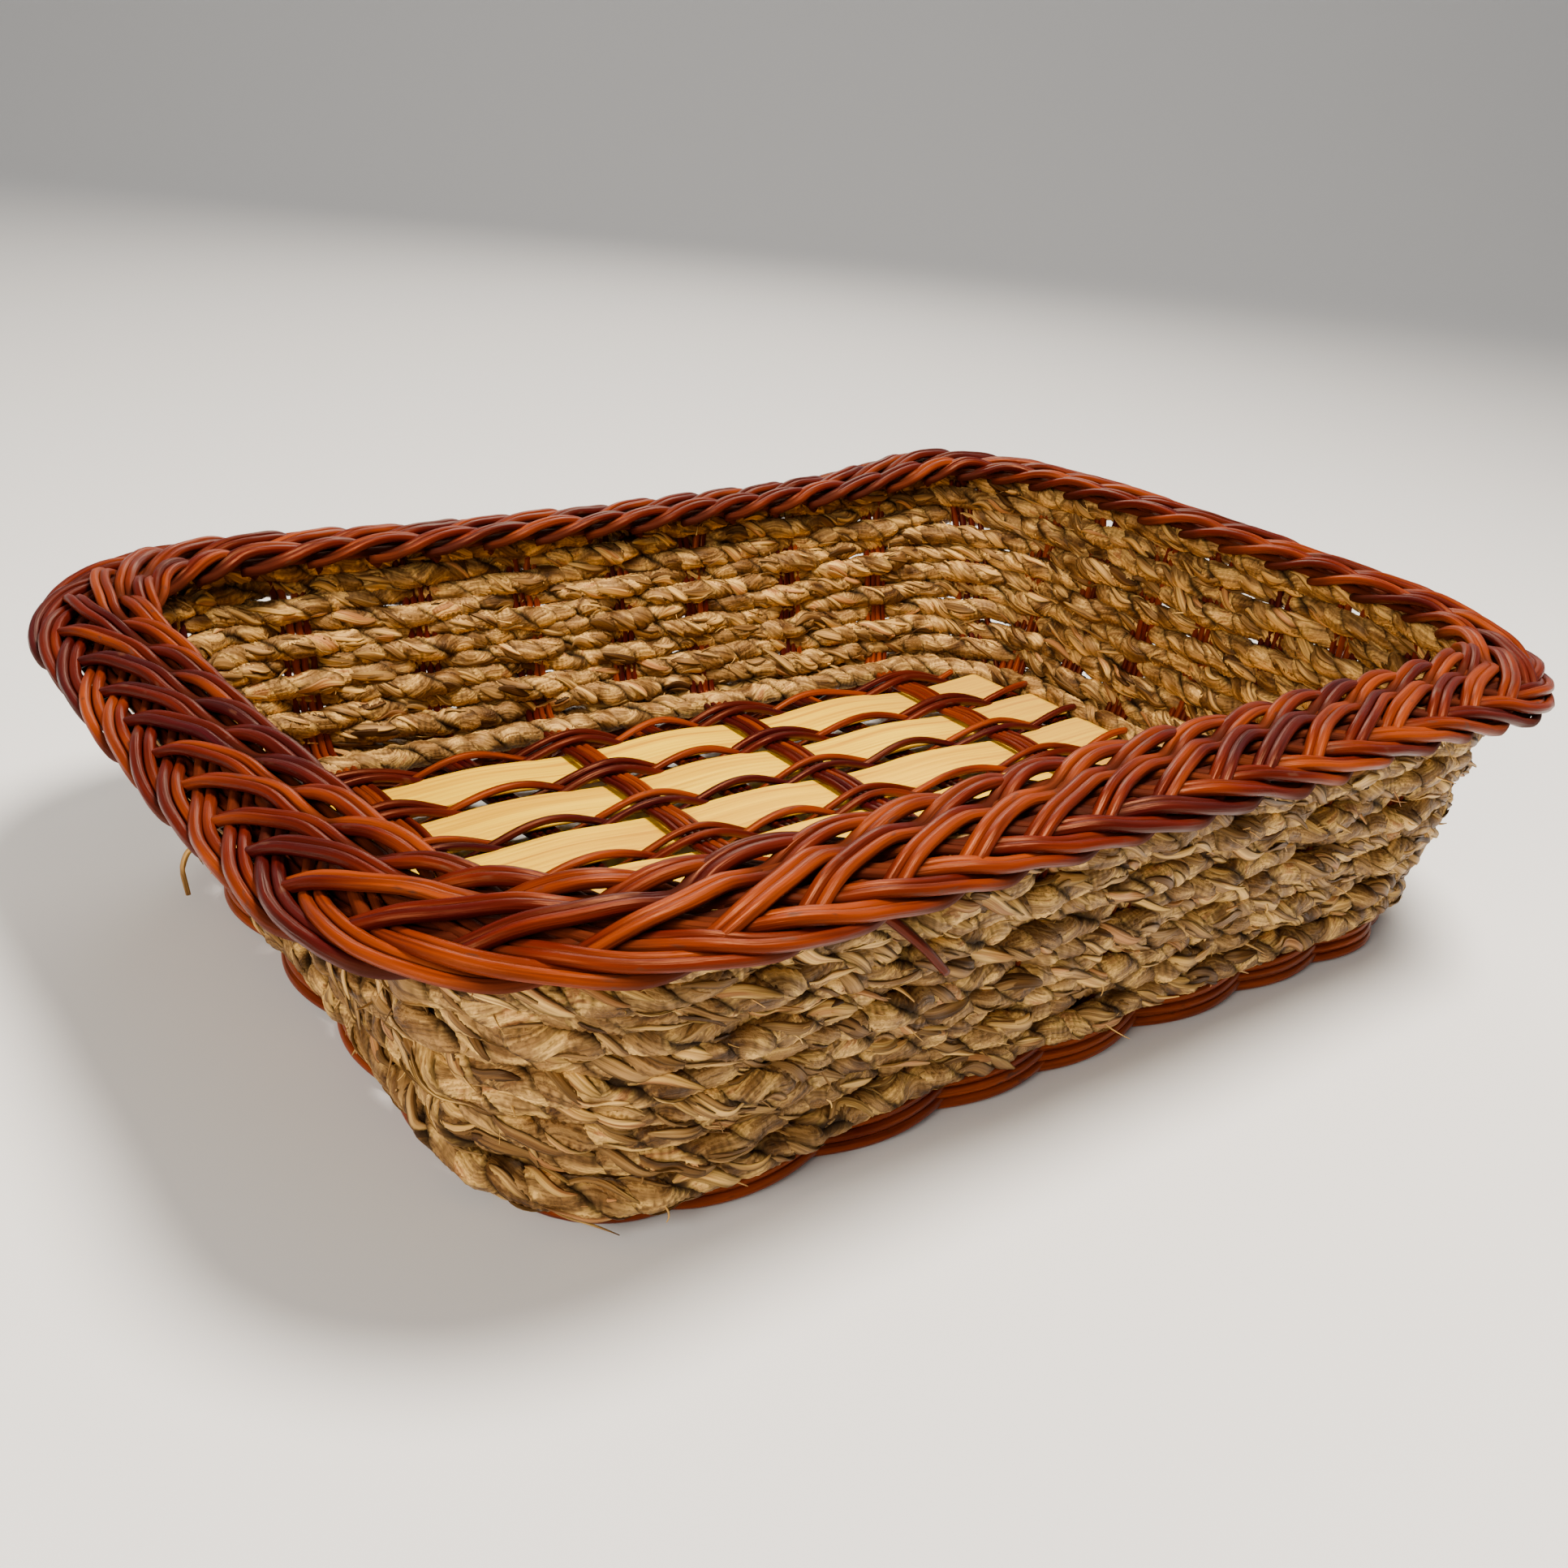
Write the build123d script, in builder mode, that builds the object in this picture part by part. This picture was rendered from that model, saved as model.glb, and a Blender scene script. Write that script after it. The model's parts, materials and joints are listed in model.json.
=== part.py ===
from build123d import *

import os
from math import sqrt

# A rectangular bread basket. X runs along its long side, Y across it and Z up.
# The origin is at the middle of the footprint, on the table.
# All sizes are in millimetres.

# Reeds: the slim red-brown canes of the stakes, the floor and the border.
REED_RADIUS = 1.1
REED_SPACING = 2.35

# Foot band: the ring of bound reed that lifts the floor off the table.
FOOT_LENGTH = 298.0
FOOT_DEPTH = 206.0
FOOT_CORNER = 40.0
FOOT_WIDTH = 7.0
FOOT_HEIGHT = 9.0
FOOT_EDGE = 2.5

# Floor: flat wood slats along X, with three reeds in each lane beside them.
SLAT_COUNT = 7
SLAT_PITCH = 24.0
SLAT_WIDTH = 15.5
SLAT_THICKNESS = 1.6
SLAT_CORNER = 2.0
FLOOR_HEIGHT = 13.5
LANE_COUNT = SLAT_COUNT + 1
LANE_REED_SPACING = 2.5
LANE_BEND = 10.0
BAND_CLEARANCE = 3.42
FIT_GAP = 0.08

# Stakes: flat bands of four reeds that cross the floor or leave its ends, and stand in the walls.
STAKE_REEDS = 4
CROSS_COUNT = 9
CROSS_PITCH = 33.0
STAKE_TOP = 77.4
STAKE_BEND = 5.0
END_TAIL = 137.6
FAN_ALONG = 0.085
FAN_ACROSS = 0.12

# Walls: the middle surface of the weave is a rounded rectangle that widens with height.
WALL_FOOT_X = 143.0
WALL_FOOT_Y = 97.0
WALL_FOOT_CORNER = 38.0
WALL_SPREAD_X = 21.0
WALL_SPREAD_Y = 17.0
WALL_SPREAD_CORNER = 7.0
WALL_RISE = 76.0
KNEE_HEIGHT = 36.0
KNEE_SHARE = 0.68

# Seagrass rope: the first row runs outside all stakes, the rest weave in and out of them.
ROPE_RADIUS = 2.65
ROPE_BEND = 4.0
ROPE_SWING = 5.45
CORNER_SWING = 8.0
WOVEN_ROWS = 10
FIRST_WOVEN_HEIGHT = 20.6
ROW_RISE = 6.0
HEM_HEIGHT = 12.7
HEM_OFFSET = 4.4

# Border: the plait of stake ends round the rim.
RIM_LENGTH = 380.0
RIM_DEPTH = 272.0
RIM_CORNER = 66.0
RIM_WIDTH = 36.0
RIM_BOTTOM = 78.0
RIM_HEIGHT = 14.0
RIM_TOP_EDGE = 6.0
RIM_BOTTOM_EDGE = 4.0


def spread_share(height):
    """How much of the walls' spread is reached at a height: most of it below the knee."""
    if height < KNEE_HEIGHT:
        return KNEE_SHARE * height / KNEE_HEIGHT
    return KNEE_SHARE + (1 - KNEE_SHARE) * (height - KNEE_HEIGHT) / (WALL_RISE - KNEE_HEIGHT)


def wall_outline(height):
    """Half length, half depth and corner radius of the walls' middle surface."""
    share = spread_share(height)
    half_x = WALL_FOOT_X + WALL_SPREAD_X * share
    half_y = WALL_FOOT_Y + WALL_SPREAD_Y * share
    return half_x, half_y, WALL_FOOT_CORNER + WALL_SPREAD_CORNER * share


def edge_at(distance, half_side, half_other, corner):
    """How far out a rounded rectangle reaches at a distance along its other axis."""
    past_corner = max(0.0, distance - (half_other - corner))
    return half_side - corner + sqrt(corner**2 - past_corner**2)


def long_wall_point(foot_x, height, side):
    """Where a cross stake stands in the near (side -1) or far (side 1) long wall."""
    half_x, half_y, corner = wall_outline(height)
    x = foot_x * (1 + FAN_ALONG * spread_share(height))
    return x, side * edge_at(abs(x), half_y, half_x, corner), height


def short_wall_point(foot_y, height, side):
    """Where an end stake stands in the left (side -1) or right (side 1) short wall."""
    half_x, half_y, corner = wall_outline(height)
    y = foot_y * (1 + FAN_ACROSS * spread_share(height))
    return side * edge_at(abs(y), half_x, half_y, corner), y, height


def evenly(count, pitch):
    """Positions of equally spaced things, centred on zero."""
    return [(i - (count - 1) / 2) * pitch for i in range(count)]


def sweep_reed(points, bend):
    """Adds one reed to the open part, along straight runs joined by arcs."""
    with BuildLine() as route:
        FilletPolyline(*points, radius=bend)
    with BuildSketch(Plane(origin=route.line @ 0, z_dir=route.line % 0)) as section:
        Circle(REED_RADIUS)
    sweep(section.sketch, path=route.line)


def save(piece, label):
    """Labels a finished piece and writes it as its own file."""
    piece.part.label = label
    export_step(piece.part, f"parts/{label}.step")


def is_over(index):
    """True for the cross stakes that lie over the slats; the others lie under them."""
    return index % 2 == 1


def is_under(index):
    """True for the cross stakes that lie under the slats."""
    return not is_over(index)


def stake_level(index):
    """Height of a cross stake's reeds in the floor."""
    lift = SLAT_THICKNESS / 2 + REED_RADIUS + FIT_GAP
    return FLOOR_HEIGHT + lift if is_over(index) else FLOOR_HEIGHT - lift


def make_foot_band():
    with BuildPart() as foot_band:
        with BuildSketch():
            RectangleRounded(FOOT_LENGTH, FOOT_DEPTH, FOOT_CORNER)
            offset(amount=-FOOT_WIDTH, mode=Mode.SUBTRACT)
        extrude(amount=FOOT_HEIGHT)
        fillet(foot_band.edges().group_by(Axis.Z)[-1], FOOT_EDGE)
    save(foot_band, "foot_band")


def floor_reach(y):
    """How far along X the floor may go at a distance y from the middle, inside the walls."""
    half_x, half_y, corner = wall_outline(FLOOR_HEIGHT)
    inset = ROPE_SWING + ROPE_RADIUS
    return edge_at(abs(y), half_x - inset, half_y - inset, corner - inset)


def make_slats():
    for number, y in enumerate(evenly(SLAT_COUNT, SLAT_PITCH), 1):
        half_length = floor_reach(abs(y) + SLAT_WIDTH / 2)
        with BuildPart() as slat:
            with BuildSketch(Plane.XY.offset(FLOOR_HEIGHT - SLAT_THICKNESS / 2)):
                with Locations((0, y)):
                    RectangleRounded(2 * half_length, SLAT_WIDTH, SLAT_CORNER)
            extrude(amount=SLAT_THICKNESS)
        save(slat, f"floor_slat_{number}")


def lane_route(y, half_length, goes_over):
    """A floor reed's route, which passes each cross stake above or below and ends level."""
    crossings = []
    for index, x in enumerate(evenly(CROSS_COUNT, CROSS_PITCH)):
        side = 1 if goes_over(index) else -1
        if abs(x) + LANE_BEND / 2 < half_length:
            crossings.append((x, y, stake_level(index) + side * BAND_CLEARANCE))
    start = (-half_length, y, crossings[0][2])
    end = (half_length, y, crossings[-1][2])
    return [start] + crossings + [end]


def make_floor_reeds():
    outermost_stake = (CROSS_COUNT - 1) / 2 * CROSS_PITCH
    for number, lane_y in enumerate(evenly(LANE_COUNT, SLAT_PITCH), 1):
        half_length = floor_reach(abs(lane_y) + LANE_REED_SPACING + REED_RADIUS)
        if half_length < outermost_stake + LANE_BEND / 2:
            half_length = outermost_stake - STAKE_REEDS / 2 * REED_SPACING - REED_RADIUS
        with BuildPart() as lane:
            for place, shift in enumerate(evenly(3, LANE_REED_SPACING)):
                is_middle = place == 1
                goes_over = is_under if is_middle else is_over
                sweep_reed(lane_route(lane_y + shift, half_length, goes_over), LANE_BEND)
        save(lane, f"floor_reeds_{number}")


def make_cross_stakes():
    for index, x in enumerate(evenly(CROSS_COUNT, CROSS_PITCH)):
        level = stake_level(index)
        with BuildPart() as stake:
            for shift in evenly(STAKE_REEDS, REED_SPACING):
                foot_x = x + shift
                near = [long_wall_point(foot_x, z, -1) for z in (STAKE_TOP, KNEE_HEIGHT, level)]
                far = [long_wall_point(foot_x, z, 1) for z in (level, KNEE_HEIGHT, STAKE_TOP)]
                near[-1] = (foot_x, near[-1][1], level)
                far[0] = (foot_x, far[0][1], level)
                sweep_reed(near + far, STAKE_BEND)
        save(stake, f"cross_stake_{index + 1}")


def make_end_stakes():
    level = FLOOR_HEIGHT - SLAT_THICKNESS / 2 - REED_RADIUS - FIT_GAP
    for name, side in (("left", -1), ("right", 1)):
        for number, y in enumerate(evenly(SLAT_COUNT, SLAT_PITCH), 1):
            with BuildPart() as stake:
                for shift in evenly(STAKE_REEDS, REED_SPACING):
                    foot_y = y + shift
                    wall = [short_wall_point(foot_y, z, side) for z in (level, KNEE_HEIGHT, STAKE_TOP)]
                    wall[0] = (wall[0][0], foot_y, level)
                    sweep_reed([(side * END_TAIL, foot_y, level)] + wall, STAKE_BEND)
            save(stake, f"end_stake_{name}_{number}")


def stake_places(height):
    """The middle of each stake at a height, counter-clockwise from the near left corner."""
    along = evenly(CROSS_COUNT, CROSS_PITCH)
    across = evenly(SLAT_COUNT, SLAT_PITCH)
    places = [long_wall_point(x, height, -1) for x in along]
    places += [short_wall_point(y, height, 1) for y in across]
    places += [long_wall_point(x, height, 1) for x in reversed(along)]
    return places + [short_wall_point(y, height, -1) for y in reversed(across)]


def moved_out(place, height, amount):
    """A point of the wall, moved outward at right angles to it, and further at a corner."""
    half_x, half_y, corner = wall_outline(height)
    x, y, z = place
    beyond = Vector(
        max(0.0, abs(x) - (half_x - corner)), max(0.0, abs(y) - (half_y - corner))
    ).normalized()
    if amount > 0:
        amount += CORNER_SWING * beyond.X * beyond.Y
    sign_x, sign_y = (1 if x > 0 else -1), (1 if y > 0 else -1)
    return x + sign_x * beyond.X * amount, y + sign_y * beyond.Y * amount, z


def make_rope_row(number, points, bends):
    """One closed ring of seagrass rope through the points, which it passes in arcs."""
    with BuildPart() as row:
        with BuildLine() as route:
            FilletPolyline(*points, radius=bends, close=True)
        with BuildSketch(Plane(origin=route.line @ 0, z_dir=route.line % 0)):
            Circle(ROPE_RADIUS)
        sweep(path=route.line)
    save(row, f"seagrass_row_{number:02d}")


def make_hem_row():
    half_x, half_y, corner = wall_outline(HEM_HEIGHT)
    x, y = half_x + HEM_OFFSET, half_y + HEM_OFFSET
    corners = [(-x, -y), (x, -y), (x, y), (-x, y)]
    make_rope_row(1, [(*place, HEM_HEIGHT) for place in corners], corner + HEM_OFFSET)


def make_woven_rows():
    for row in range(WOVEN_ROWS):
        height = FIRST_WOVEN_HEIGHT + row * ROW_RISE
        points = [
            moved_out(place, height, ROPE_SWING * (-1) ** (stake + row + 1))
            for stake, place in enumerate(stake_places(height))
        ]
        make_rope_row(row + 2, points, ROPE_BEND)


def make_border():
    with BuildPart() as border:
        with BuildSketch(Plane.XY.offset(RIM_BOTTOM)):
            RectangleRounded(RIM_LENGTH, RIM_DEPTH, RIM_CORNER)
            offset(amount=-RIM_WIDTH, mode=Mode.SUBTRACT)
        extrude(amount=RIM_HEIGHT)
        fillet(border.edges().group_by(Axis.Z)[-1], RIM_TOP_EDGE)
        fillet(border.edges().group_by(Axis.Z)[0], RIM_BOTTOM_EDGE)
    save(border, "plaited_border")


os.makedirs("parts", exist_ok=True)
make_foot_band()
make_slats()
make_floor_reeds()
make_cross_stakes()
make_end_stakes()
make_hem_row()
make_woven_rows()
make_border()
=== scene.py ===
import json
from math import cos, pi, radians, sin, tau

import bpy
import numpy as np
from mathutils import Matrix, Vector

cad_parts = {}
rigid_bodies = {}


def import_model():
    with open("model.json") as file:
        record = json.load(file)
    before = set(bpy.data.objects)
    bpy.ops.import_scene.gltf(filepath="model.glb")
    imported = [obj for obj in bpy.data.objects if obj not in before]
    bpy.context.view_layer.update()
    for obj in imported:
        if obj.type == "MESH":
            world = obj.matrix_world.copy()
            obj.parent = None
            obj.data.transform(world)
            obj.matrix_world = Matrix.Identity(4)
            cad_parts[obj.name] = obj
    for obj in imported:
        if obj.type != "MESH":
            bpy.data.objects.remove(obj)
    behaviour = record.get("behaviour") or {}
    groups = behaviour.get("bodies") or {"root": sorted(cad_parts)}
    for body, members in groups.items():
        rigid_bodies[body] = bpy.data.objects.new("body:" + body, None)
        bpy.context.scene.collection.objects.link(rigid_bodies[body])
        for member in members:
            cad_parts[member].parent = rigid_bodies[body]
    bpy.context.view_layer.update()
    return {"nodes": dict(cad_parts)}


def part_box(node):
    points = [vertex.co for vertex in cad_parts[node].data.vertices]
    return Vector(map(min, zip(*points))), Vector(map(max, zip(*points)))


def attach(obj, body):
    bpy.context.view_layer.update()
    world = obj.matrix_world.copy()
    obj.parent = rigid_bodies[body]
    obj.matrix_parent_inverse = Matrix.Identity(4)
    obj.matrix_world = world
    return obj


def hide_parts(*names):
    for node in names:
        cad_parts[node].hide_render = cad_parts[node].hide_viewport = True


# The looks of a rectangular bread basket: seagrass rope woven on red reed stakes, a plaited
# reed border, a slatted floor and a reed foot band. X runs along the basket, Y across it and Z up.
# Lengths are in metres, written as millimetres times MM. A value called UNEVEN is the size of a
# smooth random wander, which makes a woven piece look handmade.
MM = 0.001
UP = np.array([0.0, 0.0, 1.0])
ALONG_X = np.array([1.0, 0.0, 0.0])
ALONG_Y = np.array([0.0, 1.0, 0.0])

rng = np.random.default_rng(7)


def nodes_called(start):
    """The CAD nodes whose names start that way, in order."""
    return sorted(name for name in frame["nodes"] if name.startswith(start))


def boxes_of(start):
    """The lowest and highest corners of the CAD nodes whose names start that way."""
    return np.array([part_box(name) for name in nodes_called(start)])


# The objects of Blender's start-up scene go first.
for thing in list(bpy.data.objects):
    bpy.data.objects.remove(thing)
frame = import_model()

# Places and sizes read from the CAD frame.
RIM_HALF_X, RIM_HALF_Y, RIM_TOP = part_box("plaited_border")[1]
FOOT_HALF = np.array(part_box("foot_band")[1][:2])
ROW_BOXES = boxes_of("seagrass_row_")
SLAT_BOXES = boxes_of("floor_slat_")
CROSS_BOXES = boxes_of("cross_stake_")
FLOOR_LEVEL = SLAT_BOXES[0, :, 2].mean()
SLAT_PITCH = SLAT_BOXES[1, 0, 1] - SLAT_BOXES[0, 0, 1]
CROSS_PLACES = CROSS_BOXES[:, :, 0].mean(1)
CROSS_COUNT = len(CROSS_PLACES)
CROSS_PITCH = CROSS_PLACES[CROSS_COUNT // 2 + 1] - CROSS_PLACES[CROSS_COUNT // 2]
END_Y = SLAT_BOXES[:, :, 1].mean(1)

# Camera, at the photo's viewing angle.
CAMERA_PLACE = Vector((-274.9, -312.4, 214.3)) * MM
CAMERA_HEADING = 50.50  # degrees from the X axis
CAMERA_TILT = 24.06  # degrees down
CAMERA_ROLL = 6.03  # degrees, right side up
CAMERA_LENS = 37.1
CAMERA_SENSOR = 36

# How the handmade rim sags: its height at the corners and side middles, on a 3 by 3 grid.
# Rows go from the near side to the far side, columns from the left to the right.
RIM_HEIGHTS = np.array([[88.0, 92.0, 90.0], [77.0, 85.0, 92.0], [85.0, 79.5, 89.0]]) * MM
# How far the rim's corners and side middles have moved along X and Y, on the same grid.
RIM_DRAW_X = np.array([[0.0, -4.0, -25.0], [0.0, 0.0, -11.0], [2.0, 0.0, -7.0]]) * MM
RIM_DRAW_Y = np.array([[0.0, 0.0, 4.0], [0.0, 0.0, 0.0], [-5.0, -1.0, 0.0]]) * MM
SAG_START = 18.0 * MM  # nothing below this height sags
# The far rim rises in a soft peak near its right end.
PEAK_PLACE = np.array([RIM_HALF_X - 50.0 * MM, RIM_HALF_Y])
PEAK_RISE = 5.0 * MM
PEAK_REACH = 34.0 * MM

# Walls: a rope row's CAD box reaches this far outside the walls' middle surface.
WOVEN_REACH = 8.1 * MM
HEM_REACH = 7.05 * MM
ROW_REACH = np.where(np.arange(len(ROW_BOXES)) == 0, HEM_REACH, WOVEN_REACH)
ROW_HEIGHTS = ROW_BOXES[:, :, 2].mean(1)
ROW_HALF_X = ROW_BOXES[:, 1, 0] - ROW_REACH
ROW_HALF_Y = ROW_BOXES[:, 1, 1] - ROW_REACH
WALL_CORNER_LOW = 38.0 * MM
WALL_CORNER_HIGH = 45.0 * MM
# The walls flare out a little more under the border.
FLARE = 5.0 * MM
FLARE_START = 45.0 * MM
# The rows lie a little further apart than in CAD, up to the underside of the border.
ROW_LIFT = 1.12
ROW_LIFT_START = 12.0 * MM
RING_SAMPLES = 4000

# The lowest rows hang out over the foot band at the near left corner.
NEAR_CORNER = FOOT_HALF - 17.0 * MM
HANG_REACH = 42.0 * MM
HANG_HEIGHT = 22.0 * MM
HANG_OUT = 3.5 * MM
HANG_DROP = 11.0 * MM

# Reeds of the floor and the stakes.
REED_RADIUS = 1.15 * MM
REED_SIDES = 10
STAKE_REEDS = 4
REED_SPACING = 2.35 * MM
STAKE_REED_SCALE = (0.95, 1.1)
STAKE_STEP = 1.3 * MM
STAKE_LIFT = 1.9 * MM  # above or below the slats' middle
STAKE_WAVE = 0.5 * MM  # bends between the slats
STAKE_UNEVEN = 0.25 * MM
STAKE_TOP = 82.0 * MM
STAKE_INSET = 0.7 * MM  # inside the walls' middle surface
STAKE_POINTS_IN_WALL = 40
STAKE_POINTS_IN_FLOOR = 60
STAKE_FLOOR_INSET = 2.0 * MM  # where the floor stretch ends, inside the walls
BEND_SOFTNESS = 6.0 * MM
END_TAIL = 123.6 * MM  # where an end stake's reeds start under the floor
# The cross stakes stand a little unevenly, as woven by hand.
CROSS_UNEVEN = np.array([-2.0, -2.0, 0.0, -0.5, -3.0, -9.0, -6.0, -2.5, 0.0]) * MM
CROSS_X = CROSS_PLACES + CROSS_UNEVEN
# The stakes fan out up the walls.
FAN_ALONG = 0.085
FAN_ACROSS = 0.12
FAN_POWER = 0.7
# A stake's reeds part into two pairs near the rim.
SPLIT_HEIGHT = 62.0 * MM
SPLIT_WIDTH = 3.4 * MM
SPLIT_POWER = 1.5

# Lanes of three floor reeds between the slats.
LANE_REEDS = 3
LANE_REED_SCALE = (0.95, 1.15)
LANE_SPACING = 2.4 * MM
LANE_SWING = 4.2 * MM
LANE_STEP = 1.2 * MM
LANE_UNEVEN_ACROSS = 0.35 * MM
LANE_UNEVEN_LEVEL = 0.3 * MM
LANE_LOWEST = 3.0 * MM  # no floor reed dips below this height

# Slats, which bend gently over and under the stakes and are browner towards the right wall.
SLAT_SWELL = 1.6 * MM  # wider than in CAD on each side
SLAT_STEP = 1.6 * MM
SLAT_WAVE = 0.9 * MM
SLAT_UNEVEN_LEVEL = 0.15 * MM
SLAT_UNEVEN_ACROSS = 0.3 * MM
SLAT_UNEVEN_WIDTH = 0.18 * MM
SLAT_SIDES = 28
SLAT_SQUARE = 0.35
SLAT_BROWNING = 0.45
SLAT_BROWNING_START = 0.35

# Foot band: arcs of reeds, each longer than the distance from one to the next, so they overlap.
# Their length and their unevenness are shares of that distance.
FOOT_ARCS = 26
FOOT_ARC_LENGTH = 1.7
FOOT_ARC_UNEVEN = 0.15
FOOT_ARC_POINTS = 60
FOOT_ARC_BOW = 9.5 * MM
FOOT_ARC_FULLNESS = 0.9
FOOT_ARC_TUCK = 4.0 * MM
FOOT_ARC_RISE = 1.6 * MM
FOOT_REEDS = 3
FOOT_REED_RADIUS = 1.25 * MM
FOOT_REED_SPACING = 2.5 * MM
FOOT_REED_LEAN = 0.6 * MM
# Painted light: the arcs' reeds get high tints, which paint them lighter where they bow out into the
# light.
FOOT_LIT_TINT = (0.8, 1.2)
FOOT_REED_TINT = (-0.1, 0.1)
FOOT_INSET = 3.5 * MM
FOOT_CORNER = 36.5 * MM

# Seagrass rope: two plies, each of twisted leaves, round a core painted near black as shade.
ROPE_STEP = 0.85 * MM
ROPE_SWING = 2.3 * MM  # in and out of the stakes
SWING_UNEVEN = 0.7 * MM
ROPE_UNEVEN_OUT = 0.45 * MM
ROPE_UNEVEN_LEVEL = 0.55 * MM
TWIST_LENGTH = 17.5 * MM
TWIST_UNEVEN = 0.7  # radians
CORE_RADIUS = 2.1 * MM
CORE_SIDES = 6
PLY_OFFSET = 1.5 * MM
PLY_RADIUS = 2.36 * MM
PLY_SPREAD = 1.46  # a ply's section is wider than it is thick
PLY_UNEVEN = 0.10
PLY_SIDES = 12
PLY_LEAVES = 3
LEAF_LAY = 11.5 * MM  # one turn of the leaves, which then lie along the rope
LEAF_LAY_UNEVEN = 0.9  # radians
LEAF_VALLEY = 0.87
LEAF_CREST = 0.19
LEAF_FULLNESS = 0.6
LEAF_TINT_UNEVEN = 0.17
PLY_TINT = (-0.06, 0.06)
CORE_TINT = 0.3
# The hem is a pair of ropes, the outer one last: how far each lies outside the walls' middle,
# and above its CAD row. The other rows are single ropes in their places.
HEM_STRANDS = [(-5.8 * MM, 2.4 * MM), (3.2 * MM, 1.2 * MM)]
ROW_STRANDS = [(0.0, 0.0)]

# Loose leaves, which lie on the plies and lift at one end. The lay is in radians per rope step.
WRAPS_PER_ROW = 320
WRAP_LAY = 0.26
WRAP_POINTS = (9, 17)
WRAP_HALF_WIDTH = (0.7 * MM, 1.9 * MM)
WRAP_HALF_THICKNESS = 0.34 * MM
WRAP_SIDES = 6
WRAP_TURN = 0.7
WRAP_SINK = 0.96
WRAP_LIFT = 0.9 * MM
WRAP_TINT_MEAN = 0.55
WRAP_TINT_SPREAD = 0.27

# Frayed fibres, most of which stand off the outside of the basket.
FIBRES_PER_ROW = 140
FIBRE_POINTS = 7
FIBRE_SIDES = 4
FIBRE_REACH = (2.5 * MM, 6.0 * MM)
FIBRE_RADIUS = (0.12 * MM, 0.38 * MM)
FIBRES_OUTSIDE = 0.75
FIBRE_TINT = (0.4, 0.95)

# Plaited border: strands of two reeds, each woven out over the rim, back in and over the edge.
# Steps along the rim are counted in strands, and places across it in half widths.
STRAND_COUNT = 60
STRAND_STEP = 0.095
STRAND_UNEVEN_ALONG = 0.05
STRAND_UNEVEN_ACROSS = 0.025
STRAND_UNEVEN_LEVEL = 0.25 * MM
STRAND_SHADE_LEVEL = -1.9 * MM  # below this height a strand is in the dark
STRAND_SHADE_REACH = 2.6 * MM
STRAND_TINT = (0.32, 0.88)
BORDER_REED_RADIUS = 1.3 * MM
BORDER_REED_SPACING = 2.55 * MM
BORDER_REED_SCALE = (0.93, 1.08)
BORDER_REED_TILT = 0.35 * MM
BORDER_REED_TINT = (-0.12, 0.12)
BORDER_REED_SIDES = 8
BORDER_HALF_WIDTH = 12.4 * MM
BORDER_LINE_INSET = 14.9 * MM
BORDER_LINE_CORNER = 50.0 * MM
# The plait's middle layer is domed, and leans down outwards.
BORDER_LEVEL = 88.2 * MM
BORDER_DOME = 2.6 * MM
BORDER_LEAN = 2.9 * MM
# Reeds run round inside the plait and fill it; they are painted partly in shade.
BORDER_CORE_REEDS = 8
BORDER_CORE_RADIUS = 1.495 * MM
BORDER_CORE_SIDES = 6
BORDER_CORE_POINTS = 260
BORDER_CORE_REACH = 0.72
BORDER_CORE_DROP = 2.6 * MM
BORDER_CORE_UNEVEN = 0.3 * MM

# One strand's way through the plait: steps along the rim, place across it from -1 at the inner
# edge to 1 at the outer edge, and millimetres above or below the plait's middle layer.
STRAND_WAY = np.array(
    [
        [-0.25, -0.46, -8.0],
        [0.00, -0.33, -4.0],
        [0.21, -0.18, -1.9],
        [0.62, 0.09, -1.5],
        [1.10, 0.42, -1.2],
        [1.36, 0.58, 0.3],
        [1.63, 0.73, 1.5],
        [2.15, 0.93, 1.6],
        [2.60, 1.00, 0.8],
        [2.95, 1.00, -0.5],
        [3.25, 0.95, -1.5],
        [3.65, 0.73, -1.5],
        [3.88, 0.58, 0.1],
        [4.14, 0.42, 1.6],
        [4.65, 0.11, 1.8],
        [5.20, -0.16, 1.4],
        [5.55, -0.28, -0.2],
        [5.90, -0.45, -1.8],
        [6.25, -0.63, 0.3],
        [6.60, -0.77, 1.7],
        [7.20, -0.94, 1.3],
        [7.55, -1.02, -0.4],
        [7.85, -0.98, -2.6],
        [8.20, -0.75, -4.6],
    ]
)

# A loose curl of seagrass outside the left wall, and a cut reed end under the near border.
# Their points are in millimetres.
LOOSE_CURL_ROW = 2
LOOSE_CURL = [(-149, 47, 23), (-157, 47, 26), (-164, 47.5, 25), (-166, 47, 20), (-165, 46, 13)]
LOOSE_CURL_RADIUS = 1.0 * MM
CUT_END = [(-94, -116, 77), (-88, -121, 72), (-81, -124, 65), (-75, -125, 58)]
LOOSE_END_STEP = 0.7 * MM
LOOSE_END_SOFTNESS = 3.0 * MM
LOOSE_END_TAPER = 0.7
LOOSE_END_FLATNESS = 0.8

# The stage's flat floor, the bend at its back and the wall above.
STAGE_DEPTH = 1.6
STAGE_BEND = 1.2
STAGE_BEND_POINTS = 24
STAGE_WALL = 3.0
STAGE_REACH = 5.0
STAGE_COLOUR = (0.80, 0.86, 0.95, 1)

# Lights: place, size in metres and power in watts.
LIGHTS = {
    "key_light": ((0.15, -0.25, 1.1), 0.40, 32),
    "front_fill": ((-1.1, -0.35, 0.55), 0.7, 15),
    "back_light": ((0.6, 0.9, 0.8), 0.7, 7),
}
LIGHT_COLOUR = (1.0, 0.84, 0.66)
WORLD_COLOUR = (1.0, 0.92, 0.82, 1)
WORLD_STRENGTH = 0.28


# Shapes


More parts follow.
